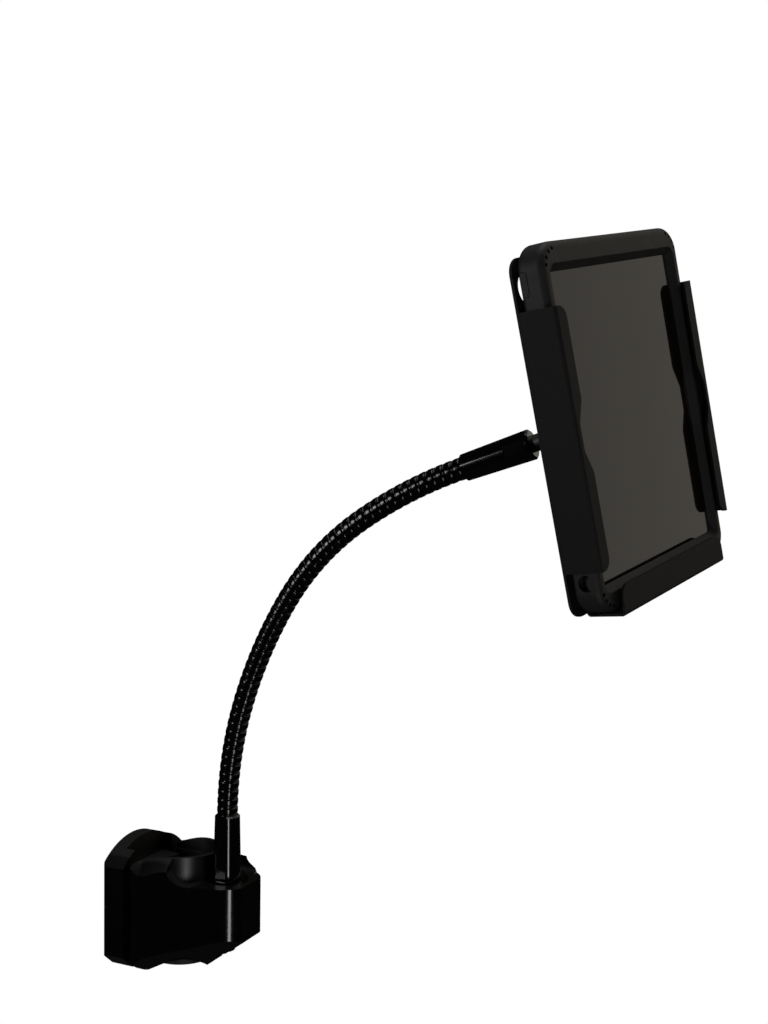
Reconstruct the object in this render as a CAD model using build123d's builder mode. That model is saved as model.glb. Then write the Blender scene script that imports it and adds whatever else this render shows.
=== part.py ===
from build123d import *
import math
import os

os.makedirs("parts", exist_ok=True)

# A tablet holder on a bendable neck. A two-piece clamp grips a round upright,
# a ribbed gooseneck rises from it between two cone ferrules, and a ball joint
# carries a folded sheet bracket that holds a tablet in a rubber bumper.
# Millimetres. Z runs up the pole, X from the pole axis to the neck, and the
# origin is on the pole axis at half the height of the clamp's lined bore.

# Pole clamp
POLE_R = 25.4
LINER_T = 2.0
LINER_H = 76.0
SEAM_X = -25.0
SEAM_GAP = 4.5
CLAMP_BOTTOM = -46.0
BODY_CHAMFER_W = 14.0
BODY_CHAMFER_H = 9.0
BODY_HALF_W = 43.0
BODY_CORNER_R = 12.0
BODY_SEAM_HALF_W = 39.0
BODY_WIDEST_X = -10.0
BODY_CROWN_Z = 51.6
BODY_CROWN_R = 60.4
BODY_CROWN_FALL = 5.0
BODY_CROWN_X = -5.5
NECK_X = 42.2
NOSE_R = 24.0
NOSE_SPREAD = 3.0
NOSE_FLAT_X = 65.0
NOSE_BOTTOM_Z = -15.0
BELLY_START_X = 22.0
BELLY_SIDE_INSET = 2.6
BELLY_SIDE_Z = -27.3
BELLY_SIDE_DIR = (-0.378, 0.5925, 0.711)
COLLAR_WALL = 3.0
COLLAR_Z = 50.0
COLLAR_SEAM_Z = 42.0
COLLAR_FRONT_Z = 49.3
COLLAR_PEAK_X = 6.0
SHELF_Z = 30.0
SHELF_START_X = 9.0
SHELF_SWEEP_R = 14.0
WALL_START_Y = 17.6
WALL_SWEEP_R = 10.5
WALL_END_X = 56.0
WALL_END_SLOPE = 1.33
SEAT_Z = 25.0
DISH_R = 17.5

# Rear jaw
JAW_BACK_X = -50.0
JAW_HALF_W = 42.5
JAW_CORNER_R = 4.4
JAW_CROWN_Z = 56.0
JAW_CROWN_R = 59.6
JAW_CHAMFER_W = 14.0
JAW_CHAMFER_H = 12.0
PAD_POCKET_DEPTH = 8.5
PAD_POCKET_HALF_W = 26.0
PAD_HALF_W = 23.0
PAD_HALF_H = 35.0
PAD_NOSE_X = -19.0
PAD_FIT = 0.1

# Clamp screws and base bolt
SCREW_R = 3.0
SCREW_HEAD_R = 5.0
SCREW_HEAD_H = 6.0
SCREW_Y = 32.5
SCREW_Z = 22.0
SCREW_SUNK = 1.5
SCREW_LENGTH = 33.0
SCREW_PLAY = 0.05
INSERT_R = 4.2
INSERT_LENGTH = 16.0
HEX_KEY = 5.0
HEX_DEPTH = 3.0
BOLT_R = 4.0
BOLT_PLAY = 0.06
BOLT_HEAD_R = 7.4
BOLT_HEAD_H = 8.0
BOLT_WASHER_R = 8.2
BOLT_WASHER_T = 1.6
BOLT_POCKET_Z = -24.0
BOLT_POCKET_R = 11.0
BOLT_REACH = 22.0
SEAT_WASHER_R = 11.3
SEAT_WASHER_T = 2.0

# Ferrules
FERRULE_L = 56.0
FERRULE_TIP_R = 10.1
FERRULE_BUTT_R = 11.3
FERRULE_LIP = 1.4
FERRULE_SLEEVE = 12.0
FLAT_ACROSS = 20.4
FLAT_FROM_BUTT = 3.0
FLAT_L = 17.0
STUD_SOCKET = 16.0

# Gooseneck: four stretches of equal length with their own bends
NECK_L = 371.6
NECK_TURNS = (17.5, 14.5, 24.1, 14.8)
LINKS = 13
RIBS_PER_LINK = 4
BAND_R = 8.4
GROOVE_R = 7.2
GROOVE_SLOPE = 0.9
BORE_R = 3.2
LINK_GAP = 1.2
PLUG_R = 5.0
PLUG_REACH = 4.5
PLUG_ROOT = 3.0
PLUG_POCKET_R = 5.9
PLUG_POCKET_DEPTH = 6.0

# Ball joint
STUD_R = 6.2
STUD_NECK_R = 4.5
STUD_NECK_L = 20.0
BALL_R = 12.7
BALL_REACH = 83.6
RUN_FIT = 0.06
CUP_T = 1.5
CUP_ANGLE = 60.0
MOUTH_ANGLE = 60.0
SOCKET_R = 18.0
SOCKET_RING_R = 20.0
SOCKET_RING_L = 13.0
SOCKET_SPLIT = 3.0
FLUTES = 12
FLUTE_R = 2.2
PEDESTAL_R = 14.5
FLANGE_R = 24.0
FLANGE_T = 4.2
TURN_GAP = 0.3
BALL_TO_PLATE = 35.4

# Pose of the bracket, in degrees
PAN = -15.4
TILT = 6.3
ROLL = 10.8

# Sheet bracket, in its own frame: x across, y up, z out of the glass
SHEET_T = 2.0
BRACKET_W = 183.6
BRACKET_DEPTH = 28.9
PLATE_TOP = 113.5
PLATE_BOTTOM = -119.3
PLATE_BACK = -19.0
PLATE_CORNER_R = 11.0
WALL_TOP = 79.5
WALL_BOTTOM = -88.7
BEND_R = 2.6
LIP_W = 11.6
LIP_CORNER_R = 8.0
NOTCH_Y = -3.0
NOTCH_HALF_L = 23.0
NOTCH_RAMP = 14.0
NOTCH_DEPTH = 6.4
LEDGE_Y = -122.4
LEDGE_HALF_W = 72.0
LEDGE_LIP_H = 20.0
LEDGE_CORNER_R = 9.0
JOINT_Y = -7.7
PAD_T = 1.6
LIP_PAD_T = 2.6

# Turntable ring that holds the socket to the plate
RING_R = 33.0
RING_LIP = 2.6
RING_PLAY = 0.4
RING_SCREWS = 4
RING_SCREW_CIRCLE = 28.6
RING_SCREW_R = 2.0
RING_SCREW_HEAD_R = 3.5
RING_SCREW_HEAD_H = 2.2
RING_NUT_R = 3.2
RING_SCREW_END = 0.8
RING_KEY = 2.5
RING_KEY_DEPTH = 1.2

# Tablet and bumper
GLASS_W = 154.0
GLASS_H = 201.2
BUMPER_TOP = 119.6
BUMPER_FRONT = 4.4
BUMPER_CORNER_R = 17.0
BUMPER_SIDE_GAP = 0.4
BUMPER_WALL = 5.2
BUMPER_EDGE_R = 5.0
BEVEL_W = 5.0
TABLET_T = 11.0
TABLET_CORNER_R = 12.0
TABLET_SKIN = 1.0
PANEL_GAP = 1.0
PANEL_T = 2.2
CELL_T = 3.6
CELL_GAP = 6.0
BOARD_T = 1.4
CHIP_T = 1.2
COVER_GLASS_T = 1.2
VENT_R = 1.3
VENT_DEPTH = 2.0
VENTS = 4
VENT_STEP = 22.0
VENT_RING_R = 12.5
KEY_WINDOW_Y = 95.6
KEY_WINDOW_L = 16.0
KEY_WINDOW_H = 5.2
KEY_WINDOW_Z = -10.6
KEY_Z = -9.3
COVER_GAP = 0.3
COVER_PROUD = 0.3
CAMERA_INSET = 15.0
CAMERA_Y = 94.0
CAMERA_R = 10.5
LENS_HOLE_R = 6.0
JACK_Y = -96.0
JACK_Z = -4.8
JACK_R = 5.6
KEY_L = 12.0
KEY_W = 2.0
KEY_PROUD = 1.2
KEY_ROOT = 0.9
KEY_PLAY = 0.2
POWER_X = 58.0
POWER_L = 10.0


def hull_plan(half_w, corner_r, corner_x, seam_half_w, seam_x):
    """Half-hexagon plan of a clamp half between its corners and its seam."""
    with Locations((corner_x, half_w - corner_r), (corner_x, corner_r - half_w)):
        Circle(corner_r)
    with Locations((seam_x, 0)):
        Rectangle(0.2, 2 * seam_half_w)


def chamfered_foot(half_w, width, height):
    """Section across a clamp half: straight sides on two bottom chamfers."""
    Polygon(
        (-half_w - width, TOP_Z),
        (-half_w - width, CLAMP_BOTTOM + 2 * height),
        (width - half_w, CLAMP_BOTTOM),
        (half_w - width, CLAMP_BOTTOM),
        (half_w + width, CLAMP_BOTTOM + 2 * height),
        (half_w + width, TOP_Z),
        align=None,
        mode=Mode.INTERSECT,
    )


def socket_screw(plane, length, head_r, head_h, shank_r, key, key_depth):
    """Cylinder-head screw: head behind the plane, shank in front of it."""
    with BuildPart() as screw:
        with BuildSketch(plane):
            Circle(head_r)
        extrude(amount=-head_h)
        with BuildSketch(plane):
            Circle(shank_r)
        extrude(amount=length)
        with BuildSketch(plane.offset(-head_h)):
            RegularPolygon(key / 2, 6, major_radius=False)
        extrude(amount=key_depth, mode=Mode.SUBTRACT)
    return screw.part


# Front half of the clamp: a crowned block with a round nose, moulded in one
COLLAR_R = POLE_R + LINER_T + COLLAR_WALL
SADDLE_R = POLE_R + LINER_T
TOP_Z = max(BODY_CROWN_Z, JAW_CROWN_Z)
CLAMP_RISE = TOP_Z - CLAMP_BOTTOM

# Wall left standing on the far side of the shelf, swept up from it
with BuildPart() as far_wall:
    with BuildSketch(Plane.YZ):
        with BuildLine():
            Polyline(
                (WALL_START_Y + WALL_SWEEP_R, SHELF_Z + WALL_SWEEP_R),
                (WALL_START_Y + WALL_SWEEP_R, TOP_Z),
                (2 * BODY_HALF_W, TOP_Z),
                (2 * BODY_HALF_W, SHELF_Z - 1),
                (WALL_START_Y, SHELF_Z - 1),
                (WALL_START_Y, SHELF_Z),
            )
            ThreePointArc(
                (WALL_START_Y, SHELF_Z),
                (
                    WALL_START_Y + WALL_SWEEP_R * math.sqrt(0.5),
                    SHELF_Z + WALL_SWEEP_R * (1 - math.sqrt(0.5)),
                ),
                (WALL_START_Y + WALL_SWEEP_R, SHELF_Z + WALL_SWEEP_R),
            )
        make_face()
    extrude(amount=NOSE_FLAT_X)
    with BuildSketch(Plane.XZ):
        Polygon(
            (0, SHELF_Z - 1),
            (WALL_END_X, SHELF_Z - 1),
            (WALL_END_X, SHELF_Z),
            (WALL_END_X - (TOP_Z - SHELF_Z) / WALL_END_SLOPE, TOP_Z),
            (0, TOP_Z),
            align=None,
        )
    extrude(amount=2 * BODY_HALF_W, both=True, mode=Mode.INTERSECT)

with BuildPart() as shelf_cut:
    with BuildSketch(Plane.XZ):
        with BuildLine():
            Polyline(
                (SHELF_START_X, SHELF_Z + SHELF_SWEEP_R),
                (SHELF_START_X, TOP_Z),
                (NOSE_FLAT_X + NOSE_R, TOP_Z),
                (NOSE_FLAT_X + NOSE_R, SHELF_Z),
                (SHELF_START_X + SHELF_SWEEP_R, SHELF_Z),
            )
            RadiusArc(
                (SHELF_START_X + SHELF_SWEEP_R, SHELF_Z),
                (SHELF_START_X, SHELF_Z + SHELF_SWEEP_R),
                SHELF_SWEEP_R,
            )
        make_face()
    extrude(amount=BODY_HALF_W + NOSE_R, both=True)
    add(far_wall.part, mode=Mode.SUBTRACT)
    with BuildSketch(Plane.XY.offset(SEAT_Z)):
        with Locations((NECK_X, 0)):
            Circle(DISH_R - (SHELF_Z - SEAT_Z))
    extrude(amount=SHELF_Z - SEAT_Z, taper=-45)
    with BuildSketch(Plane.XY.offset(SEAT_Z)):
        Circle(COLLAR_R)
    extrude(amount=CLAMP_RISE, mode=Mode.SUBTRACT)

crown_fall = math.radians(BODY_CROWN_FALL)
crown_plane = Plane(
    origin=(BODY_CROWN_X, 0, BODY_CROWN_Z - BODY_CROWN_R),
    x_dir=(0, 1, 0),
    z_dir=(math.cos(crown_fall), 0, -math.sin(crown_fall)),
)

with BuildPart() as plan_block:
    with BuildSketch(Plane.XY.offset(CLAMP_BOTTOM)):
        with Locations((NECK_X + 1.8, NOSE_SPREAD), (NECK_X + 1.8, -NOSE_SPREAD)):
            Circle(NOSE_R)
        hull_plan(BODY_HALF_W, BODY_CORNER_R, BODY_WIDEST_X, BODY_SEAM_HALF_W, SEAM_X + 0.1)
        make_hull()
    extrude(amount=CLAMP_RISE)

with BuildPart() as clamp_body:
    add(plan_block.part)
    with BuildSketch(Plane.XZ):
        Polygon(
            (SEAM_X, CLAMP_BOTTOM),
            (BELLY_START_X, CLAMP_BOTTOM),
            (NOSE_FLAT_X, NOSE_BOTTOM_Z),
            (NOSE_FLAT_X, TOP_Z),
            (SEAM_X, TOP_Z),
            align=None,
        )
    extrude(amount=2 * BODY_HALF_W, both=True, mode=Mode.INTERSECT)
    # Crowned top that falls towards the nose, and chamfers under both sides
    with BuildSketch(crown_plane):
        Circle(BODY_CROWN_R)
    extrude(amount=2 * NOSE_FLAT_X, both=True, mode=Mode.INTERSECT)
    # Collar that flares down from the pole at 45 degrees into the crown
    with BuildSketch(Plane.XY.offset(TOP_Z)):
        Circle(COLLAR_R - (TOP_Z - COLLAR_Z))
        with Locations((SEAM_X - COLLAR_R, 0)):
            Rectangle(2 * COLLAR_R, 4 * COLLAR_R, mode=Mode.SUBTRACT)
    extrude(amount=-(TOP_Z - SHELF_Z), taper=-45)
    with BuildSketch(Plane.XZ):
        with BuildLine():
            ThreePointArc(
                (SEAM_X, COLLAR_SEAM_Z), (COLLAR_PEAK_X, COLLAR_Z), (COLLAR_R, COLLAR_FRONT_Z)
            )
            Polyline(
                (COLLAR_R, COLLAR_FRONT_Z),
                (NOSE_FLAT_X, SHELF_Z + WALL_SWEEP_R),
                (NOSE_FLAT_X, CLAMP_BOTTOM),
                (SEAM_X, CLAMP_BOTTOM),
                (SEAM_X, COLLAR_SEAM_Z),
            )
        make_face()
    extrude(amount=2 * BODY_HALF_W, both=True, mode=Mode.INTERSECT)
    add(plan_block.part, mode=Mode.INTERSECT)
    with BuildSketch(Plane.YZ):
        Rectangle(4 * BODY_HALF_W, 4 * TOP_Z)
        chamfered_foot(BODY_HALF_W, BODY_CHAMFER_W, BODY_CHAMFER_H)
    extrude(amount=2 * NOSE_FLAT_X, both=True, mode=Mode.INTERSECT)
    # The belly is faceted: one plane each side rises towards the nose
    for side in (-1, 1):
        edge = (0, side * (BODY_HALF_W - BELLY_SIDE_INSET), BELLY_SIDE_Z)
        rise = (BELLY_SIDE_DIR[0], -side * BELLY_SIDE_DIR[1], BELLY_SIDE_DIR[2])
        split(bisect_by=Plane(origin=edge, z_dir=rise), keep=Keep.TOP)
    add(shelf_cut.part, mode=Mode.SUBTRACT)
    # Saddle for the pole, open to the seam
    with BuildSketch(Plane.XY.offset(CLAMP_BOTTOM)):
        Circle(SADDLE_R)
        with Locations((SEAM_X, 0)):
            Rectangle(-2 * SEAM_X, 2 * SADDLE_R)
    extrude(amount=CLAMP_RISE, mode=Mode.SUBTRACT)
    # Bolt way up to the neck, with its pocket below
    with BuildSketch(Plane.XY.offset(CLAMP_BOTTOM)):
        with Locations((NECK_X, 0)):
            Circle(BOLT_R + BOLT_PLAY)
    extrude(amount=CLAMP_RISE, mode=Mode.SUBTRACT)
    with BuildSketch(Plane.XY.offset(CLAMP_BOTTOM)):
        with Locations((NECK_X, 0)):
            Circle(BOLT_POCKET_R)
    extrude(amount=BOLT_POCKET_Z - CLAMP_BOTTOM, mode=Mode.SUBTRACT)
    # Blind holes for the brass inserts
    with BuildSketch(Plane.YZ.offset(SEAM_X)):
        with GridLocations(2 * SCREW_Y, 2 * SCREW_Z, 2, 2):
            Circle(INSERT_R)
    extrude(amount=INSERT_LENGTH, mode=Mode.SUBTRACT)
clamp_body.part.label = "clamp_body"
export_step(clamp_body.part, "parts/clamp_body.step")

# Rubber liner glued in the saddle
with BuildPart() as saddle_liner:
    with BuildSketch(Plane.XY.offset(-LINER_H / 2)):
        Circle(SADDLE_R)
        with Locations((SEAM_X / 2, 0)):
            Rectangle(-SEAM_X, 2 * SADDLE_R)
        Circle(POLE_R, mode=Mode.SUBTRACT)
        with Locations((SEAM_X, 0)):
            Rectangle(-2 * SEAM_X, 2 * POLE_R, mode=Mode.SUBTRACT)
    extrude(amount=LINER_H)
saddle_liner.part.label = "saddle_liner"
export_step(saddle_liner.part, "parts/saddle_liner.step")

# Brass inserts pressed into the seam face
with BuildPart() as thread_inserts:
    with BuildSketch(Plane.YZ.offset(SEAM_X)):
        with GridLocations(2 * SCREW_Y, 2 * SCREW_Z, 2, 2):
            Circle(INSERT_R)
            Circle(SCREW_R + SCREW_PLAY, mode=Mode.SUBTRACT)
    extrude(amount=INSERT_LENGTH)
thread_inserts.part.label = "thread_inserts"
export_step(thread_inserts.part, "parts/thread_inserts.step")

# Flat washer that the base ferrule turns on
with BuildPart() as seat_washer:
    with BuildSketch(Plane.XY.offset(SEAT_Z)):
        with Locations((NECK_X, 0)):
            Circle(SEAT_WASHER_R)
            Circle(BOLT_R + SCREW_PLAY, mode=Mode.SUBTRACT)
    extrude(amount=SEAT_WASHER_T)
seat_washer.part.label = "seat_washer"
export_step(seat_washer.part, "parts/seat_washer.step")

# Rear jaw: an arched block that closes the saddle from behind
JAW_SEAM_X = SEAM_X - SEAM_GAP
JAW_HEAD_X = JAW_BACK_X + SCREW_SUNK + SCREW_HEAD_H

with BuildPart() as rear_jaw:
    with BuildSketch(Plane.XY.offset(CLAMP_BOTTOM)):
        hull_plan(JAW_HALF_W, JAW_CORNER_R, JAW_BACK_X + JAW_CORNER_R, JAW_HALF_W - 0.5, JAW_SEAM_X - 0.1)
        make_hull()
    extrude(amount=CLAMP_RISE)
    with BuildSketch(Plane.YZ):
        with Locations((0, JAW_CROWN_Z - JAW_CROWN_R)):
            Circle(JAW_CROWN_R)
        chamfered_foot(JAW_HALF_W, JAW_CHAMFER_W, JAW_CHAMFER_H)
    extrude(amount=2 * JAW_BACK_X, both=True, mode=Mode.INTERSECT)
    with BuildSketch(Plane.XY.offset(CLAMP_BOTTOM)):
        with Locations((JAW_SEAM_X - PAD_POCKET_DEPTH, 0)):
            Rectangle(2 * PAD_POCKET_DEPTH, 2 * PAD_POCKET_HALF_W, align=(Align.MIN, Align.CENTER))
    extrude(amount=CLAMP_RISE, mode=Mode.SUBTRACT)
    with BuildSketch(Plane.YZ.offset(JAW_SEAM_X)):
        with GridLocations(2 * SCREW_Y, 2 * SCREW_Z, 2, 2):
            Circle(SCREW_R + 0.3)
    extrude(amount=JAW_BACK_X - JAW_SEAM_X, mode=Mode.SUBTRACT)
    with BuildSketch(Plane.YZ.offset(JAW_HEAD_X)):
        with GridLocations(2 * SCREW_Y, 2 * SCREW_Z, 2, 2):
            Circle(SCREW_HEAD_R + 0.3)
    extrude(amount=JAW_BACK_X - JAW_HEAD_X, mode=Mode.SUBTRACT)
rear_jaw.part.label = "rear_jaw"
export_step(rear_jaw.part, "parts/rear_jaw.step")

# Rubber pad in the jaw, hollowed to the pole
with BuildPart() as jaw_pad:
    with BuildSketch(Plane.XY.offset(-PAD_HALF_H)):
        with Locations((JAW_SEAM_X - PAD_POCKET_DEPTH, 0)):
            Rectangle(PAD_POCKET_DEPTH, 2 * (PAD_POCKET_HALF_W - PAD_FIT), align=(Align.MIN, Align.CENTER))
        with Locations((JAW_SEAM_X, 0)):
            Rectangle(PAD_NOSE_X - JAW_SEAM_X, 2 * PAD_HALF_W, align=(Align.MIN, Align.CENTER))
        Circle(POLE_R, mode=Mode.SUBTRACT)
    extrude(amount=2 * PAD_HALF_H)
jaw_pad.part.label = "jaw_pad"
export_step(jaw_pad.part, "parts/jaw_pad.step")

# Four socket screws, driven from behind the jaw
screws = []
for side in (-1, 1):
    for level in (-1, 1):
        screw_plane = Plane(
            origin=(JAW_HEAD_X, side * SCREW_Y, level * SCREW_Z), x_dir=(0, 1, 0), z_dir=(1, 0, 0)
        )
        screws.append(
            socket_screw(screw_plane, SCREW_LENGTH, SCREW_HEAD_R, SCREW_HEAD_H, SCREW_R, HEX_KEY, HEX_DEPTH)
        )
jaw_screws = Compound(children=screws)
jaw_screws.label = "jaw_screws"
export_step(jaw_screws, "parts/jaw_screws.step")


# Neck line: distance along it to a plane square to it
def neck_plane(distance):
    """Plane square to the neck's centre line at a distance from its foot."""
    x = NECK_X
    z = SEAT_Z + SEAT_WASHER_T + FERRULE_L
    stretch = NECK_L / len(NECK_TURNS)
    heading = 0.0
    left = distance
    for turn in NECK_TURNS:
        run = min(left, stretch)
        bend = math.radians(turn) * run / stretch
        if run > 0:
            radius = run / bend
            x += radius * (math.cos(heading) - math.cos(heading + bend))
            z += radius * (math.sin(heading + bend) - math.sin(heading))
            heading += bend
        else:
            x += run * math.sin(heading)
            z += run * math.cos(heading)
        left -= run
        if left <= 0:
            break
    if left > 0:
        x += left * math.sin(heading)
        z += left * math.cos(heading)
    return Plane(origin=(x, 0, z), x_dir=(0, 1, 0), z_dir=(math.sin(heading), 0, math.cos(heading)))


# Cone ferrule with wrench flats, the same moulding at both ends of the neck
def ferrule(tip, bore_r, bore_depth):
    """Ferrule whose tip lies on the plane and whose butt is along its normal."""
    side = Plane(origin=tip.origin, x_dir=tip.x_dir, z_dir=tip.y_dir * -1)
    with BuildPart() as cone:
        with BuildSketch(side):
            Polygon(
                (0, 0),
                (FERRULE_TIP_R - FERRULE_LIP, 0),
                (FERRULE_TIP_R, FERRULE_LIP),
                (FERRULE_BUTT_R, FERRULE_L - FERRULE_LIP),
                (FERRULE_BUTT_R - FERRULE_LIP, FERRULE_L),
                (0, FERRULE_L),
                align=None,
            )
        revolve(axis=Axis(tip.origin, tip.z_dir))
        with BuildSketch(tip.offset(FERRULE_L - FLAT_FROM_BUTT - FLAT_L)):
            with Locations((FLAT_ACROSS / 2, 0), (-FLAT_ACROSS / 2 - FERRULE_BUTT_R, 0)):
                Rectangle(FERRULE_BUTT_R, 2 * FERRULE_BUTT_R, align=(Align.MIN, Align.CENTER))
        extrude(amount=FLAT_L, mode=Mode.SUBTRACT)
        with BuildSketch(tip):
            Circle(GROOVE_R + 0.05)
        extrude(amount=FERRULE_SLEEVE, mode=Mode.SUBTRACT)
        with BuildSketch(tip.offset(FERRULE_L)):
            Circle(bore_r)
        extrude(amount=-bore_depth, mode=Mode.SUBTRACT)
    return cone.part


foot = neck_plane(0)
base_tip = Plane(origin=foot.origin, x_dir=(0, 1, 0), z_dir=(0, 0, -1))
base_ferrule = ferrule(base_tip, BOLT_R + 0.02, BOLT_REACH + 2)
base_ferrule.label = "base_ferrule"
export_step(base_ferrule, "parts/base_ferrule.step")

head = neck_plane(NECK_L)
top_ferrule = ferrule(head, STUD_R + 0.02, STUD_SOCKET)
top_ferrule.label = "top_ferrule"
export_step(top_ferrule, "parts/top_ferrule.step")

# Bolt that comes up through the nose into the base ferrule
BOLT_HEAD_TOP = BOLT_POCKET_Z - BOLT_WASHER_T
bolt_plane = Plane(origin=(NECK_X, 0, BOLT_HEAD_TOP), x_dir=(1, 0, 0), z_dir=(0, 0, 1))
bolt_length = SEAT_Z + SEAT_WASHER_T + BOLT_REACH - BOLT_HEAD_TOP
base_bolt = socket_screw(
    bolt_plane, bolt_length, BOLT_HEAD_R, BOLT_HEAD_H, BOLT_R, HEX_KEY + 1, HEX_DEPTH
)
base_bolt.label = "base_bolt"
export_step(base_bolt, "parts/base_bolt.step")

with BuildPart() as bolt_washer:
    with BuildSketch(Plane.XY.offset(BOLT_HEAD_TOP)):
        with Locations((NECK_X, 0)):
            Circle(BOLT_WASHER_R)
            Circle(BOLT_R + SCREW_PLAY, mode=Mode.SUBTRACT)
    extrude(amount=BOLT_WASHER_T)
bolt_washer.part.label = "bolt_washer"
export_step(bolt_washer.part, "parts/bolt_washer.step")

# Gooseneck: a ribbed tube in links, each with a core plug in the next one
LINK_L = NECK_L / LINKS
PITCH = LINK_L / RIBS_PER_LINK

for number in range(1, LINKS + 1):
    start = (number - 1) * LINK_L
    end = number * LINK_L
    with BuildPart() as link:
        for rib in range(RIBS_PER_LINK):
            low = start + rib * PITCH
            first = low + (LINK_GAP / 2 if rib == 0 and number > 1 else 0)
            last = low + PITCH - (LINK_GAP / 2 if rib == RIBS_PER_LINK - 1 and number < LINKS else 0)
            if rib == 0:
                with BuildSketch(neck_plane(first)):
                    Circle(GROOVE_R)
            with BuildSketch(neck_plane(low + GROOVE_SLOPE)):
                Circle(BAND_R)
            with BuildSketch(neck_plane(low + PITCH - GROOVE_SLOPE)):
                Circle(BAND_R)
            with BuildSketch(neck_plane(last)):
                Circle(GROOVE_R)
        loft(ruled=True)
        if number == 1:
            with BuildSketch(foot):
                Circle(GROOVE_R)
            extrude(amount=-FERRULE_SLEEVE)
        else:
            with BuildSketch(neck_plane(start)):
                Circle(PLUG_POCKET_R)
            extrude(amount=PLUG_POCKET_DEPTH, mode=Mode.SUBTRACT)
        if number == LINKS:
            with BuildSketch(head):
                Circle(GROOVE_R)
            extrude(amount=FERRULE_SLEEVE)
        else:
            with BuildSketch(neck_plane(end)):
                Circle(PLUG_R)
            extrude(amount=PLUG_REACH)
            with BuildSketch(neck_plane(end)):
                Circle(PLUG_R)
            extrude(amount=-PLUG_ROOT)
        reach_low = FERRULE_SLEEVE if number == 1 else 0
        reach_high = FERRULE_SLEEVE if number == LINKS else PLUG_REACH
        bore_start = neck_plane(start).offset(-reach_low - 1).origin
        bore_end = neck_plane(end).offset(reach_high + 1).origin
        with BuildSketch(Plane(origin=bore_start, x_dir=(0, 1, 0), z_dir=bore_end - bore_start)):
            Circle(BORE_R)
        extrude(amount=(bore_end - bore_start).length, mode=Mode.SUBTRACT)
    name = "neck_link_" + str(number)
    link.part.label = name
    export_step(link.part, "parts/" + name + ".step")

# Ball stud in the top ferrule
ball_plane = head.offset(BALL_REACH)
ball_point = ball_plane.origin
stud_side = Plane(origin=ball_point, x_dir=head.x_dir, z_dir=head.y_dir * -1)
STUD_BACK = BALL_REACH - FERRULE_L + STUD_SOCKET

with BuildPart() as ball_stud:
    with BuildSketch(stud_side):
        Polygon(
            (0, -STUD_BACK),
            (STUD_R, -STUD_BACK),
            (STUD_R, -STUD_NECK_L),
            (STUD_NECK_R, 1 - STUD_NECK_L),
            (STUD_NECK_R, 0),
            (0, 0),
            align=None,
        )
    revolve(axis=Axis(ball_point, head.z_dir))
    with Locations(ball_plane):
        Sphere(BALL_R)
ball_stud.part.label = "ball_stud"
export_step(ball_stud.part, "parts/ball_stud.step")

# Frame of the bracket: x across, y up and z out of the glass
pan = math.radians(PAN)
tilt = math.radians(TILT)
roll = math.radians(ROLL)
out_dir = Vector(math.cos(tilt) * math.cos(pan), math.cos(tilt) * math.sin(pan), math.sin(tilt))
level_dir = Vector(-math.sin(pan), math.cos(pan), 0)
rise_dir = out_dir.cross(level_dir)
across_dir = level_dir * math.cos(roll) + rise_dir * math.sin(roll)
up_dir = out_dir.cross(across_dir)
glass_centre = ball_point + out_dir * (BALL_TO_PLATE - PLATE_BACK) - up_dir * JOINT_Y
face = Plane(origin=glass_centre, x_dir=across_dir, z_dir=out_dir)
turn_axis = Axis(ball_point, out_dir)
turn_side = Plane(origin=ball_point, x_dir=across_dir, z_dir=up_dir * -1)
turn = Plane(origin=ball_point, x_dir=across_dir, z_dir=out_dir)


def polar(radius, angle):
    """Point at an angle from the mouth of the socket."""
    return (radius * math.sin(math.radians(angle)), -radius * math.cos(math.radians(angle)))


# Friction cup: a nylon shell behind the ball
CUP_IN_R = BALL_R + RUN_FIT
CUP_OUT_R = CUP_IN_R + CUP_T
CUP_EDGE = 180 - CUP_ANGLE

with BuildPart() as friction_cup:
    with BuildSketch(turn_side):
        with BuildLine():
            ThreePointArc(
                polar(CUP_IN_R, CUP_EDGE), polar(CUP_IN_R, (CUP_EDGE + 180) / 2), (0, CUP_IN_R)
            )
            Line((0, CUP_IN_R), (0, CUP_OUT_R))
            ThreePointArc(
                (0, CUP_OUT_R), polar(CUP_OUT_R, (CUP_EDGE + 180) / 2), polar(CUP_OUT_R, CUP_EDGE)
            )
            Line(polar(CUP_OUT_R, CUP_EDGE), polar(CUP_IN_R, CUP_EDGE))
        make_face()
    revolve(axis=turn_axis)
friction_cup.part.label = "friction_cup"
export_step(friction_cup.part, "parts/friction_cup.step")

# Socket housing: cup, pedestal and turntable flange in one turning
HOUSING_IN_R = CUP_OUT_R + RUN_FIT
FLANGE_TOP = BALL_TO_PLATE - TURN_GAP
FLANGE_BOTTOM = FLANGE_TOP - FLANGE_T
CUP_BACK = HOUSING_IN_R + 3.2

with BuildPart() as socket_housing:
    with BuildSketch(turn_side):
        Polygon(
            (0, -SOCKET_SPLIT + 0.2),
            (SOCKET_R, -SOCKET_SPLIT + 0.2),
            (SOCKET_R, CUP_BACK - 6),
            (PEDESTAL_R, CUP_BACK),
            (PEDESTAL_R, FLANGE_BOTTOM),
            (FLANGE_R, FLANGE_BOTTOM),
            (FLANGE_R, FLANGE_TOP),
            (0, FLANGE_TOP),
            align=None,
        )
    revolve(axis=turn_axis)
    with Locations(turn):
        Sphere(HOUSING_IN_R, mode=Mode.SUBTRACT)
socket_housing.part.label = "socket_housing"
export_step(socket_housing.part, "parts/socket_housing.step")

# Socket ring: holds the ball in, fluted for the fingers
RING_IN_R = BALL_R + RUN_FIT
mouth = polar(RING_IN_R, MOUTH_ANGLE)
MOUTH_Z = mouth[1]

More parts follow.
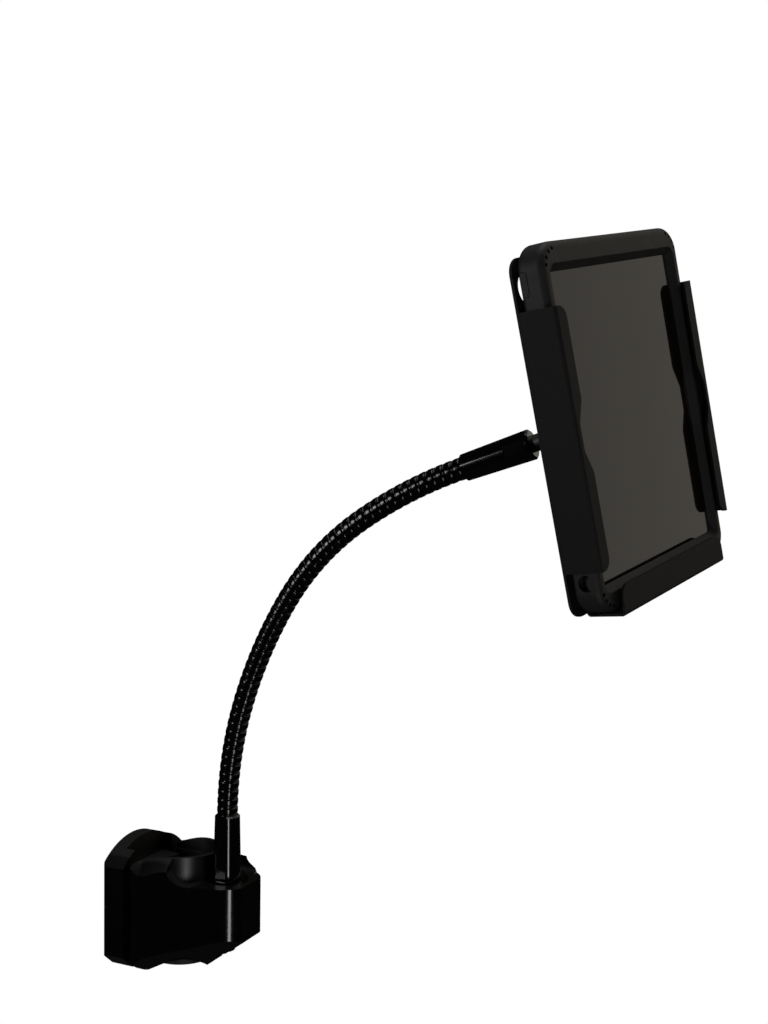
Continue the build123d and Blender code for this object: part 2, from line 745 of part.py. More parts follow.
with BuildPart() as socket_ring:
    with BuildSketch(turn_side):
        Polygon(
            (0, MOUTH_Z - 1.5),
            (mouth[0] + 5.5, MOUTH_Z - 1.5),
            (SOCKET_RING_R, MOUTH_Z + 2.5),
            (SOCKET_RING_R, MOUTH_Z + SOCKET_RING_L),
            (SOCKET_R + 0.1, MOUTH_Z + SOCKET_RING_L),
            (SOCKET_R + 0.1, -SOCKET_SPLIT),
            (0, -SOCKET_SPLIT),
            align=None,
        )
    revolve(axis=turn_axis)
    with Locations(turn):
        Sphere(RING_IN_R, mode=Mode.SUBTRACT)
    with BuildSketch(turn.offset(MOUTH_Z + 0.4)):
        Circle(mouth[0])
    extrude(amount=-4, taper=-40, mode=Mode.SUBTRACT)
    with BuildSketch(turn.offset(MOUTH_Z + SOCKET_RING_L)):
        with PolarLocations(SOCKET_RING_R + FLUTE_R * 0.55, FLUTES):
            Circle(FLUTE_R)
    extrude(amount=-SOCKET_RING_L + 3, mode=Mode.SUBTRACT)
socket_ring.part.label = "socket_ring"
export_step(socket_ring.part, "parts/socket_ring.step")

# Sheet bracket: back plate, two folded walls with lips, and a ledge
HALF_W = BRACKET_W / 2
FRONT_Z = PLATE_BACK + BRACKET_DEPTH
CAMERA_X = CAMERA_INSET - HALF_W
INNER_BEND = BEND_R - SHEET_T
LIP_ROOT_X = HALF_W - BEND_R
LIP_EDGE_X = HALF_W - LIP_W
NOTCH_EDGE_X = LIP_EDGE_X + NOTCH_DEPTH

channel = Plane(origin=face.origin, x_dir=face.x_dir, z_dir=face.y_dir * -1)
ledge_side = Plane(origin=face.origin, x_dir=face.y_dir, z_dir=face.x_dir)

with BuildPart() as bracket_frame:
    # Folded channel: in this sketch y is the depth out of the plate
    with BuildSketch(channel.offset(-WALL_TOP)) as channel_section:
        with Locations((0, PLATE_BACK)):
            Rectangle(BRACKET_W, BRACKET_DEPTH, align=(Align.CENTER, Align.MIN))
        fillet(channel_section.vertices(), BEND_R)
        with BuildSketch(mode=Mode.PRIVATE) as hollow:
            with Locations((0, PLATE_BACK + SHEET_T)):
                Rectangle(BRACKET_W - 2 * SHEET_T, BRACKET_DEPTH - 2 * SHEET_T, align=(Align.CENTER, Align.MIN))
            fillet(hollow.vertices(), INNER_BEND)
        add(hollow.sketch, mode=Mode.SUBTRACT)
        with Locations((0, FRONT_Z - SHEET_T - 1)):
            Rectangle(2 * LIP_ROOT_X, SHEET_T + 2, align=(Align.CENTER, Align.MIN), mode=Mode.SUBTRACT)
    extrude(amount=WALL_TOP - WALL_BOTTOM)
    # Lips with a thumb notch halfway and round corners
    for side in (-1, 1):
        with BuildSketch(face.offset(FRONT_Z - SHEET_T)) as lip:
            Polygon(
                (side * LIP_ROOT_X, WALL_TOP),
                (side * LIP_EDGE_X, WALL_TOP),
                (side * LIP_EDGE_X, NOTCH_Y + NOTCH_HALF_L),
                (side * NOTCH_EDGE_X, NOTCH_Y + NOTCH_HALF_L - NOTCH_RAMP),
                (side * NOTCH_EDGE_X, NOTCH_Y - NOTCH_HALF_L + NOTCH_RAMP),
                (side * LIP_EDGE_X, NOTCH_Y - NOTCH_HALF_L),
                (side * LIP_EDGE_X, WALL_BOTTOM),
                (side * LIP_ROOT_X, WALL_BOTTOM),
                align=None,
            )
            edge_corners = lip.vertices().filter_by(lambda v: abs(v.X) < LIP_ROOT_X - 0.1)
            fillet(edge_corners, LIP_CORNER_R)
        extrude(amount=SHEET_T)
    # Back plate
    with BuildSketch(face.offset(PLATE_BACK)):
        with Locations((0, (PLATE_TOP + PLATE_BOTTOM) / 2)):
            RectangleRounded(BRACKET_W, PLATE_TOP - PLATE_BOTTOM, PLATE_CORNER_R)
        with Locations((CAMERA_X, CAMERA_Y)):
            Circle(CAMERA_R, mode=Mode.SUBTRACT)
    extrude(amount=SHEET_T)
    # Ledge folded forward from the plate, with its rising lip
    with BuildSketch(ledge_side.offset(-LEDGE_HALF_W)) as ledge_section:
        with Locations((LEDGE_Y, PLATE_BACK)):
            Rectangle(LEDGE_LIP_H, BRACKET_DEPTH, align=(Align.MIN, Align.MIN))
        fillet(ledge_section.vertices().group_by(Axis.X)[0], BEND_R)
        with Locations((LEDGE_Y + SHEET_T, PLATE_BACK + SHEET_T)):
            Rectangle(LEDGE_LIP_H, BRACKET_DEPTH - 2 * SHEET_T, align=(Align.MIN, Align.MIN), mode=Mode.SUBTRACT)
        with Locations((LEDGE_Y + BEND_R, FRONT_Z - SHEET_T - 1)):
            Rectangle(LEDGE_LIP_H, SHEET_T + 2, align=(Align.MIN, Align.MIN), mode=Mode.SUBTRACT)
    extrude(amount=2 * LEDGE_HALF_W)
    with BuildSketch(face.offset(FRONT_Z - SHEET_T)) as ledge_lip:
        with Locations((0, LEDGE_Y + BEND_R)):
            Rectangle(2 * LEDGE_HALF_W, LEDGE_LIP_H - BEND_R, align=(Align.CENTER, Align.MIN))
        fillet(ledge_lip.vertices().group_by(Axis.Y)[-1], LEDGE_CORNER_R)
    extrude(amount=SHEET_T)
    # Clearance holes for the turntable screws
    with BuildSketch(face.offset(PLATE_BACK)):
        with Locations((0, JOINT_Y)):
            with PolarLocations(RING_SCREW_CIRCLE, RING_SCREWS, start_angle=45):
                Circle(RING_SCREW_R + 0.1)
    extrude(amount=SHEET_T, mode=Mode.SUBTRACT)
bracket_frame.part.label = "bracket_frame"
export_step(bracket_frame.part, "parts/bracket_frame.step")

# Turntable ring screwed to the back of the plate
RING_POCKET = FLANGE_T + TURN_GAP + RING_PLAY
RING_H = RING_POCKET + RING_LIP
ring_base = face.offset(PLATE_BACK)

with BuildPart() as turntable_ring:
    with BuildSketch(ring_base):
        with Locations((0, JOINT_Y)):
            Circle(RING_R)
            Circle(FLANGE_R + RING_PLAY, mode=Mode.SUBTRACT)
            with PolarLocations(RING_SCREW_CIRCLE, RING_SCREWS, start_angle=45):
                Circle(RING_SCREW_R + 0.1, mode=Mode.SUBTRACT)
    extrude(amount=-RING_POCKET)
    with BuildSketch(ring_base.offset(-RING_POCKET)):
        with Locations((0, JOINT_Y)):
            Circle(RING_R)
            Circle(PEDESTAL_R + 3 * RING_PLAY, mode=Mode.SUBTRACT)
            with PolarLocations(RING_SCREW_CIRCLE, RING_SCREWS, start_angle=45):
                Circle(RING_SCREW_R + 0.1, mode=Mode.SUBTRACT)
    extrude(amount=-RING_LIP)
turntable_ring.part.label = "turntable_ring"
export_step(turntable_ring.part, "parts/turntable_ring.step")

# Four pan-head screws and their flat nuts
fixings = []
for count in range(RING_SCREWS):
    angle = math.radians(45 + 360 / RING_SCREWS * count)
    spot = (
        ring_base.origin
        + across_dir * (RING_SCREW_CIRCLE * math.cos(angle))
        + up_dir * (JOINT_Y + RING_SCREW_CIRCLE * math.sin(angle))
        - out_dir * RING_H
    )
    fixings.append(
        socket_screw(
            Plane(origin=spot, x_dir=across_dir, z_dir=out_dir),
            RING_H + SHEET_T + RING_SCREW_END,
            RING_SCREW_HEAD_R,
            RING_SCREW_HEAD_H,
            RING_SCREW_R,
            RING_KEY,
            RING_KEY_DEPTH,
        )
    )
ring_screws = Compound(children=fixings)
ring_screws.label = "ring_screws"
export_step(ring_screws, "parts/ring_screws.step")

# Foam pads: one sheet on the plate, strips behind the lips and on the ledge
INSIDE_W = BRACKET_W - 2 * SHEET_T
PAD_FLOOR = PLATE_BACK + SHEET_T
BUMPER_BACK = PAD_FLOOR + PAD_T
LEDGE_TOP = LEDGE_Y + SHEET_T
BUMPER_BOTTOM = LEDGE_TOP + PAD_T

with BuildPart() as back_pad:
    with BuildSketch(face.offset(PAD_FLOOR)):
        with Locations((0, (WALL_TOP + WALL_BOTTOM) / 2)):
            RectangleRounded(INSIDE_W - 12, WALL_TOP - WALL_BOTTOM - 10, 8)
        with Locations((0, JOINT_Y)):
            with PolarLocations(RING_SCREW_CIRCLE, RING_SCREWS, start_angle=45):
                Circle(RING_NUT_R, mode=Mode.SUBTRACT)
    extrude(amount=PAD_T)
back_pad.part.label = "back_pad"
export_step(back_pad.part, "parts/back_pad.step")

with BuildPart() as lip_pads:
    with BuildSketch(face.offset(FRONT_Z - SHEET_T)):
        for side in (-1, 1):
            strip_x = side * (LIP_ROOT_X + NOTCH_EDGE_X) / 2
            for low_y, high_y in (
                (WALL_BOTTOM + LIP_CORNER_R, NOTCH_Y - NOTCH_HALF_L),
                (NOTCH_Y + NOTCH_HALF_L, WALL_TOP - LIP_CORNER_R),
            ):
                with Locations((strip_x, (low_y + high_y) / 2)):
                    Rectangle(LIP_ROOT_X - NOTCH_EDGE_X, high_y - low_y)
    extrude(amount=-LIP_PAD_T)
lip_pads.part.label = "lip_pads"
export_step(lip_pads.part, "parts/lip_pads.step")

with BuildPart() as ledge_pad:
    with BuildSketch(face.offset(PAD_FLOOR + 1)):
        with Locations((0, LEDGE_TOP)):
            Rectangle(2 * LEDGE_HALF_W - 8, PAD_T, align=(Align.CENTER, Align.MIN))
    extrude(amount=BRACKET_DEPTH - 2 * SHEET_T - 2)
ledge_pad.part.label = "ledge_pad"
export_step(ledge_pad.part, "parts/ledge_pad.step")

# Rubber bumper round the tablet
BUMPER_W = INSIDE_W - 2 * BUMPER_SIDE_GAP
BUMPER_H = BUMPER_TOP - BUMPER_BOTTOM
BUMPER_MID = (BUMPER_TOP + BUMPER_BOTTOM) / 2
TABLET_W = BUMPER_W - 2 * BUMPER_WALL
TABLET_H = BUMPER_H - 2 * BUMPER_WALL

with BuildPart() as bumper:
    with BuildSketch(face.offset(BUMPER_BACK)):
        with Locations((0, BUMPER_MID)):
            RectangleRounded(BUMPER_W, BUMPER_H, BUMPER_CORNER_R)
    extrude(amount=BUMPER_FRONT - BUMPER_BACK)
    rims = bumper.faces().sort_by(Axis(face.origin, face.z_dir))
    fillet(rims[-1].edges(), BUMPER_EDGE_R)
    back_rim = bumper.faces().sort_by(Axis(face.origin, face.z_dir))[0]
    fillet(back_rim.edges(), BUMPER_EDGE_R * 0.8)
    with BuildSketch(face.offset(-TABLET_T)):
        with Locations((0, BUMPER_MID)):
            RectangleRounded(TABLET_W, TABLET_H, TABLET_CORNER_R)
    extrude(amount=TABLET_T, mode=Mode.SUBTRACT)
    with BuildSketch(face):
        RectangleRounded(GLASS_W, GLASS_H, 2.0)
    with BuildSketch(face.offset(BUMPER_FRONT)):
        RectangleRounded(GLASS_W + 2 * BEVEL_W, GLASS_H + 2 * BEVEL_W, 2.0 + BEVEL_W)
    loft(mode=Mode.SUBTRACT)
    with BuildSketch(face.offset(BUMPER_FRONT)):
        for corner_x in (-1, 1):
            for corner_y in (-1, 1):
                centre_x = corner_x * (BUMPER_W / 2 - BUMPER_CORNER_R)
                centre_y = BUMPER_MID + corner_y * (BUMPER_H / 2 - BUMPER_CORNER_R)
                for count in range(VENTS):
                    angle = math.radians(45 + VENT_STEP * (count - (VENTS - 1) / 2))
                    with Locations(
                        (
                            centre_x + corner_x * VENT_RING_R * math.cos(angle),
                            centre_y + corner_y * VENT_RING_R * math.sin(angle),
                        )
                    ):
                        Circle(VENT_R)
    extrude(amount=-VENT_DEPTH, mode=Mode.SUBTRACT)
    with BuildSketch(ledge_side.offset(-BUMPER_W / 2)):
        with Locations((KEY_WINDOW_Y, KEY_WINDOW_Z)):
            SlotOverall(KEY_WINDOW_L, KEY_WINDOW_H)
        with Locations((JACK_Y, JACK_Z)):
            Circle(JACK_R)
    extrude(amount=BUMPER_WALL + 1, mode=Mode.SUBTRACT)
    with BuildSketch(channel.offset(-BUMPER_TOP)):
        with Locations((POWER_X, KEY_WINDOW_Z)):
            SlotOverall(POWER_L + 4, KEY_WINDOW_H)
    extrude(amount=BUMPER_WALL + 1, mode=Mode.SUBTRACT)
    with BuildSketch(face.offset(BUMPER_BACK)):
        with Locations((CAMERA_X, CAMERA_Y)):
            Circle(LENS_HOLE_R)
    extrude(amount=-TABLET_T - BUMPER_BACK, mode=Mode.SUBTRACT)
bumper.part.label = "bumper"
export_step(bumper.part, "parts/bumper.step")

# Tablet: metal tray, glass, and what lies between them
TRAY_GAP = 0.1
TRAY_FRONT = -COVER_GLASS_T
TRAY_W = TABLET_W - 2 * TRAY_GAP
TRAY_H = TABLET_H - 2 * TRAY_GAP

with BuildPart() as tablet_housing:
    with BuildSketch(face.offset(TRAY_GAP - TABLET_T)):
        with Locations((0, BUMPER_MID)):
            RectangleRounded(TRAY_W, TRAY_H, TABLET_CORNER_R)
    extrude(amount=TABLET_T - COVER_GLASS_T - TRAY_GAP)
    with BuildSketch(face.offset(TRAY_GAP + TABLET_SKIN - TABLET_T)):
        with Locations((0, BUMPER_MID)):
            RectangleRounded(TRAY_W - 4 * TABLET_SKIN, TRAY_H - 4 * TABLET_SKIN, TABLET_CORNER_R - 2)
    extrude(amount=TABLET_T, mode=Mode.SUBTRACT)
    with BuildSketch(ledge_side.offset(-TRAY_W / 2)):
        with Locations((KEY_WINDOW_Y, KEY_Z)):
            Rectangle(KEY_L + 2 * KEY_PLAY, KEY_W + 2 * KEY_PLAY)
    extrude(amount=2.5 * TABLET_SKIN, mode=Mode.SUBTRACT)
    with BuildSketch(channel.offset(-BUMPER_MID - TRAY_H / 2)):
        with Locations((POWER_X, KEY_Z)):
            Rectangle(POWER_L + 2 * KEY_PLAY, KEY_W + 2 * KEY_PLAY)
    extrude(amount=2.5 * TABLET_SKIN, mode=Mode.SUBTRACT)
tablet_housing.part.label = "tablet_housing"
export_step(tablet_housing.part, "parts/tablet_housing.step")

with BuildPart() as screen_glass:
    with BuildSketch(face.offset(TRAY_FRONT)):
        with Locations((0, BUMPER_MID)):
            RectangleRounded(TRAY_W - 1, TRAY_H - 1, TABLET_CORNER_R - 0.5)
    extrude(amount=COVER_GLASS_T)
screen_glass.part.label = "screen_glass"
export_step(screen_glass.part, "parts/screen_glass.step")

# What lies in the tray: display, two cells below and the board above them
INNER_W = TRAY_W - 4 * TABLET_SKIN - 2 * PANEL_GAP
INNER_H = TRAY_H - 4 * TABLET_SKIN - 2 * PANEL_GAP
TRAY_FLOOR = TRAY_GAP + TABLET_SKIN - TABLET_T
CELL_W = (INNER_W - 3 * CELL_GAP) / 2
CELL_H = INNER_H / 2
BOARD_W = INNER_W - 4 * CELL_GAP
BOARD_H = INNER_H / 6
BOARD_Y = BUMPER_MID + INNER_H / 4
CELL_Y = BUMPER_MID - INNER_H / 8

with BuildPart() as display_panel:
    with BuildSketch(face.offset(TRAY_FRONT - PANEL_T)):
        with Locations((0, BUMPER_MID)):
            RectangleRounded(INNER_W, INNER_H, TABLET_CORNER_R - 2 * TABLET_SKIN - PANEL_GAP)
    extrude(amount=PANEL_T)
display_panel.part.label = "display_panel"
export_step(display_panel.part, "parts/display_panel.step")

with BuildPart() as battery:
    with BuildSketch(face.offset(TRAY_FLOOR)):
        with Locations((0, CELL_Y)):
            with GridLocations(CELL_W + CELL_GAP, 0, 2, 1):
                Rectangle(CELL_W, CELL_H)
    extrude(amount=CELL_T)
battery.part.label = "battery"
export_step(battery.part, "parts/battery.step")

with BuildPart() as main_board:
    with BuildSketch(face.offset(TRAY_FLOOR)):
        with Locations((0, BOARD_Y)):
            Rectangle(BOARD_W, BOARD_H)
    extrude(amount=BOARD_T)
    with BuildSketch(face.offset(TRAY_FLOOR + BOARD_T)):
        with Locations((0, BOARD_Y)):
            with GridLocations(BOARD_W / 4, 0, 3, 1):
                Rectangle(BOARD_W / 9, BOARD_H / 3)
    extrude(amount=CHIP_T)
main_board.part.label = "main_board"
export_step(main_board.part, "parts/main_board.step")

# Side keys of the tablet, each with the rubber cover that fills its window
with BuildPart() as volume_rocker:
    with BuildSketch(ledge_side.offset(-TRAY_W / 2 - KEY_PROUD)):
        with Locations((KEY_WINDOW_Y, KEY_Z)):
            SlotOverall(KEY_L, KEY_W)
    extrude(amount=KEY_PROUD + KEY_ROOT)
volume_rocker.part.label = "volume_rocker"
export_step(volume_rocker.part, "parts/volume_rocker.step")

with BuildPart() as volume_cover:
    with BuildSketch(ledge_side.offset(-BUMPER_W / 2 - COVER_PROUD)):
        with Locations((KEY_WINDOW_Y, KEY_WINDOW_Z)):
            SlotOverall(KEY_WINDOW_L - 2 * COVER_GAP, KEY_WINDOW_H - 2 * COVER_GAP)
    extrude(amount=COVER_PROUD + BUMPER_WALL + TRAY_GAP - KEY_PROUD)
volume_cover.part.label = "volume_cover"
export_step(volume_cover.part, "parts/volume_cover.step")

with BuildPart() as power_button:
    with BuildSketch(channel.offset(-BUMPER_MID - TRAY_H / 2 - KEY_PROUD)):
        with Locations((POWER_X, KEY_Z)):
            SlotOverall(POWER_L, KEY_W)
    extrude(amount=KEY_PROUD + KEY_ROOT)
power_button.part.label = "power_button"
export_step(power_button.part, "parts/power_button.step")

with BuildPart() as power_cover:
    with BuildSketch(channel.offset(-BUMPER_TOP - COVER_PROUD)):
        with Locations((POWER_X, KEY_WINDOW_Z)):
            SlotOverall(POWER_L + 4 - 2 * COVER_GAP, KEY_WINDOW_H - 2 * COVER_GAP)
    extrude(amount=COVER_PROUD + BUMPER_WALL + TRAY_GAP - KEY_PROUD)
power_cover.part.label = "power_cover"
export_step(power_cover.part, "parts/power_cover.step")
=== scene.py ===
import math

import bmesh
import bpy
from mathutils import Matrix, Vector


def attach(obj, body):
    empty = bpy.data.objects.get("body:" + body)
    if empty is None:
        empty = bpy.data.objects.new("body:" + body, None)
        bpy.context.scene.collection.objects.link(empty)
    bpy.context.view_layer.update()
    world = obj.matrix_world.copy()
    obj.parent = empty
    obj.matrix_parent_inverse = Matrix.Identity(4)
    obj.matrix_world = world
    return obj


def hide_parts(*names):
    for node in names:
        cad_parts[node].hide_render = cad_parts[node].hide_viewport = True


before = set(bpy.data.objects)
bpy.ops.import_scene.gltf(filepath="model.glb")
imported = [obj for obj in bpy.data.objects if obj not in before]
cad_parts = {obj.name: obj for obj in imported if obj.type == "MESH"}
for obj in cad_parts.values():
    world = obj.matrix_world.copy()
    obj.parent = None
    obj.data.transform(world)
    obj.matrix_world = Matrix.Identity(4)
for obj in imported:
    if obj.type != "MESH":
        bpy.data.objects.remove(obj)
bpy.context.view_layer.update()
MM = 0.001

# Camera at the photograph's viewpoint. The photo is 768 by 1024 pixels, and its
# focal length of 1300 pixels is set against the frame's height.
VIEW_POINT = Vector((0.5955, -0.8818, 0.3857))
VIEW_HEADING = math.radians(25.32)
VIEW_DOWN = math.radians(3.16)
VIEW_ROLL = math.radians(-0.76)
FOCAL_PX = 1300
FRAME_H_PX = 1024

level = Vector((math.cos(VIEW_HEADING), math.sin(VIEW_HEADING), 0))
ahead = Vector((-math.sin(VIEW_HEADING), math.cos(VIEW_HEADING), 0))
forward = ahead * math.cos(VIEW_DOWN) - Vector((0, 0, math.sin(VIEW_DOWN)))
down = -ahead * math.sin(VIEW_DOWN) - Vector((0, 0, math.cos(VIEW_DOWN)))
image_right = level * math.cos(VIEW_ROLL) + down * math.sin(VIEW_ROLL)
image_up = level * math.sin(VIEW_ROLL) - down * math.cos(VIEW_ROLL)

camera_data = bpy.data.cameras.new("view")
camera_data.sensor_width = 36
camera_data.lens = FOCAL_PX / FRAME_H_PX * camera_data.sensor_width
camera = bpy.data.objects.new("view", camera_data)
turn = Matrix((image_right, image_up, -forward)).transposed()
camera.matrix_world = Matrix.Translation(VIEW_POINT) @ turn.to_4x4()
bpy.context.scene.collection.objects.link(camera)
bpy.context.scene.camera = camera


# Shader arithmetic: a socket that can be added, multiplied and mixed, and one
# method that makes every node.
class Tap:
    def __init__(self, tree, socket):
        self.tree = tree
        self.socket = socket

    def node(self, kind, inputs, output=0, **settings):
        made = self.tree.nodes.new(kind)
        for name, value in settings.items():
            setattr(made, name, value)
        for key, value in inputs.items():
            if isinstance(value, Tap):
                self.tree.links.new(value.socket, made.inputs[key])
            else:
                made.inputs[key].default_value = value
        return Tap(self.tree, made.outputs[output])

    def math(self, operation, other):
        return self.node("ShaderNodeMath", {0: self, 1: other}, operation=operation)

    def __add__(self, other):
        return self.math("ADD", other)

    def __mul__(self, other):
        return self.math("MULTIPLY", other)

    def along(self, x, y, z):
        """How far this vector reaches along a unit direction."""
        return self.node("ShaderNodeVectorMath", {0: self, 1: (x, y, z)}, "Value", operation="DOT_PRODUCT")

    def mix(self, low, high):
        """The colour that lies this far from low to high."""
        return self.node("ShaderNodeMix", {"Factor": self, "A": low, "B": high}, 2, data_type="RGBA")

    def steps(self, low, high, floor=0.0, ceiling=1.0):
        """This value, stretched so that low becomes floor and high ceiling."""
        wanted = {"Value": self, "From Min": low, "From Max": high, "To Min": floor, "To Max": ceiling}
        return self.node("ShaderNodeMapRange", wanted)

    def bump(self, height_mm, strength=1.0):
        return self.node("ShaderNodeBump", {"Height": self, "Distance": height_mm * MM, "Strength": strength})


def surface(name):
    """A new material's principled shader, its own coordinates and its tree."""
    made = bpy.data.materials.new(name)
    made.use_nodes = True
    tree = made.node_tree
    shader = tree.nodes["Principled BSDF"]
    place = Tap(tree, tree.nodes.new("ShaderNodeTexCoord").outputs["Object"])
    return made, shader, place


def noise(place, size_mm, detail=3.0, roughness=0.55):
    wanted = {"Vector": place, "Scale": 1 / (size_mm * MM), "Detail": detail, "Roughness": roughness}
    return place.node("ShaderNodeTexNoise", wanted)


def plug(shader, name, value):
    if isinstance(value, Tap):
        value.tree.links.new(value.socket, shader.inputs[name])
    else:
        shader.inputs[name].default_value = value


def finish(shader, **values):
    names = {"colour": "Base Color", "roughness": "Roughness", "metallic": "Metallic", "normal": "Normal",
             "gloss": "Specular IOR Level"}
    for key, value in values.items():
        plug(shader, names[key], value)


def grey(value, warmth=0.0):
    return (value * (1 + warmth), value, value * (1 - warmth), 1)


# Where the clamp is satin: its upward faces, and the half collar on its shelf.
# The collar lies above COLLAR_Z, inside the near wall at COLLAR_Y and behind
# the dish, which starts at COLLAR_X. Each limit fades over a few millimetres.
COLLAR_X = 27 * MM
COLLAR_Y = -34 * MM
COLLAR_Z = 25.5 * MM


def satin_share(made, place):
    """1 on the satin places and 0 on the glossy sides."""
    facing = Tap(made.node_tree, made.node_tree.nodes.new("ShaderNodeNewGeometry").outputs["Normal"])
    top = facing.along(0, 0, 1).steps(0.15, 0.35)
    above_dish = place.along(0, 0, 1).steps(COLLAR_Z, COLLAR_Z + 1 * MM)
    inside_wall = place.along(0, 1, 0).steps(COLLAR_Y, COLLAR_Y + 2 * MM)
    behind_dish = place.along(1, 0, 0).steps(COLLAR_X + 3 * MM, COLLAR_X)
    return top + above_dish * inside_wall * behind_dish


# Glossy black moulding of the clamp, ferrules and neck: faint orange peel, and
# a little dust and handling that dulls the gloss in patches.
def moulded_black(name, tone, gloss_roughness, peel_mm, satin=0.0):
    made, shader, place = surface(name)
    peel = noise(place, 1.4, detail=2.0)
    handling = noise(place, 22.0, detail=5.0, roughness=0.6).steps(0.35, 0.75)
    roughness = handling * 0.04 + gloss_roughness
    if satin:
        roughness = roughness + satin_share(made, place) * satin
    finish(
        shader,
        colour=handling.mix(grey(tone), grey(tone * 1.7)),
        roughness=roughness,
        normal=peel.bump(peel_mm, 0.3),
        gloss=0.5,
    )
    return made


# Powder coat of the folded sheet: a fine even grain of low bumps.
def powder_coat(name, tone, grain_mm):
    made, shader, place = surface(name)
    grain = noise(place, grain_mm, 2.0)
    cloud = noise(place, 30.0, 4.0).steps(0.3, 0.7)
    finish(
        shader,
        colour=cloud.mix(grey(tone), grey(tone * 1.35)),
        roughness=grain * 0.16 + 0.6,
        normal=grain.bump(0.05, 0.55),
        gloss=0.3,
    )
    return made


# Moulded rubber: matt, with a faint bloom and a fine spark-eroded grain.
def moulded_rubber(name, tone, bloom):
    made, shader, place = surface(name)
    grain = noise(place, 0.35, 2.0)
    patches = noise(place, 17.0, 5.0, 0.6).steps(0.4, 0.72)
    finish(
        shader,
        colour=patches.mix(grey(tone), grey(tone * bloom)),
        roughness=patches * 0.08 + 0.56,
        normal=grain.bump(0.03, 0.5),
        gloss=0.35,
    )
    return made


# Bare or plated metal: turned or brushed streaks round one axis.
def worked_metal(name, colour, rough, streak_mm):
    made, shader, place = surface(name)
    streaks = noise(place, streak_mm, 3.0)
    tarnish = noise(place, 9.0, 4.0).steps(0.35, 0.7)
    finish(
        shader,
        colour=tarnish.mix(tuple(c * 0.82 for c in colour[:3]) + (1,), colour),
        metallic=1.0,
        roughness=streaks * 0.18 + rough,
        normal=streaks.bump(0.01, 0.3),
    )
    return made


def paint(material, *names):
    for name in names:
        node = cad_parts[name]
        node.data.materials.clear()
        node.data.materials.append(material)


clamp_black = moulded_black("clamp_black", 0.0012, 0.12, 0.002, 0.24)
ferrule_black = moulded_black("ferrule_black", 0.0012, 0.1, 0.001)
neck_black = moulded_black("neck_black", 0.0012, 0.15, 0.0005)
coat_black = powder_coat("coat_black", 0.003, 0.7)
socket_black = powder_coat("socket_black", 0.004, 0.4)
bumper_black = moulded_rubber("bumper_black", 0.011, 1.4)
liner_black = moulded_rubber("liner_black", 0.004, 1.4)
pad_black = moulded_rubber("pad_black", 0.004, 1.3)
stud_grey = worked_metal("stud_grey", (0.09, 0.09, 0.095, 1), 0.38, 0.5)
zinc = worked_metal("zinc", (0.5, 0.51, 0.52, 1), 0.3, 0.4)
oxide = worked_metal("oxide", (0.03, 0.03, 0.032, 1), 0.34, 0.4)
brass = worked_metal("brass", (0.72, 0.52, 0.23, 1), 0.28, 0.4)
# Tablet housing and keys: bead-blasted metal whose colour is made dark as painted shade, so that the jack and
# camera holes in the bumper look shaded inside.
blasted_painted_shade = worked_metal("blasted_painted_shade", (0.05, 0.05, 0.053, 1), 0.42, 0.3)
nylon = moulded_rubber("nylon", 0.5, 1.1)
board_green = moulded_rubber("board_green", 0.06, 1.3)

paint(clamp_black, "clamp_body", "rear_jaw")
paint(ferrule_black, "base_ferrule", "top_ferrule")
paint(liner_black, "saddle_liner", "jaw_pad")
paint(brass, "thread_inserts")
paint(zinc, "seat_washer", "bolt_washer")
paint(oxide, "jaw_screws", "base_bolt", "ring_screws")
paint(stud_grey, "ball_stud")
paint(nylon, "friction_cup")
paint(socket_black, "socket_housing", "socket_ring", "turntable_ring")
paint(coat_black, "bracket_frame")
paint(pad_black, "back_pad", "lip_pads", "ledge_pad")
paint(bumper_black, "bumper", "volume_cover", "power_cover")
paint(blasted_painted_shade, "tablet_housing", "volume_rocker", "power_button")
paint(board_green, "main_board")
paint(zinc, "battery")

# Screen: an unlit display under clean cover glass, warm dark grey all over.
screen, shader, place = surface("screen")
haze = noise(place, 60.0, 3.0).steps(0.3, 0.7)
finish(
    shader,
    colour=haze.mix((0.006, 0.005, 0.004, 1), (0.008, 0.007, 0.0055, 1)),
    roughness=haze * 0.02 + 0.05,
    gloss=0.5,
)
paint(screen, "screen_glass", "display_panel")

# Gooseneck. Each link is wound from a wide rounded band and a thin wire beside
# it, round the same curve as the CAD links, over a dark core.
NECK_X = 42.2 * MM
NECK_FOOT_Z = 83.0 * MM
NECK_L = 371.6 * MM
NECK_TURNS = (17.5, 14.5, 24.1, 14.8)
LINKS = 13
RIBS_PER_LINK = 4
PITCH = NECK_L / LINKS / RIBS_PER_LINK
BAND_R = 8.4 * MM
BAND_EDGE_R = 8.0 * MM
WIRE_R = 8.1 * MM
GROOVE_R = 7.5 * MM
CORE_R = 6.6 * MM
CORE_REACH = 2.5 * MM
CORE_TAPER = 0.5 * MM
FERRULE_OVERLAP = 1.0 * MM
END_GAP = 0.4 * MM
WIRE_W = 0.9 * MM
FLANK = 0.25 * MM
AROUND = 56
BAND_STEPS = 11
CREASE = math.radians(48)


def neck_frame(distance):
    """Matrix of the plane square to the neck's centre line, Z along the neck."""
    x = NECK_X
    z = NECK_FOOT_Z
    stretch = NECK_L / len(NECK_TURNS)
    heading = 0.0
    left = distance
    for turning in NECK_TURNS:
        run = max(0.0, min(left, stretch))
        bend = math.radians(turning) * run / stretch
        if bend > 0:
            radius = run / bend
            x += radius * (math.cos(heading) - math.cos(heading + bend))
            z += radius * (math.sin(heading + bend) - math.sin(heading))
            heading += bend
        left -= run
    past_end = min(distance, 0) + max(left, 0)
    x += past_end * math.sin(heading)
    z += past_end * math.cos(heading)
    along = Vector((math.sin(heading), 0, math.cos(heading)))
    side = Vector((0, 1, 0))
    return Matrix.Translation((x, 0, z)) @ Matrix((side, along.cross(side), along)).transposed().to_4x4()


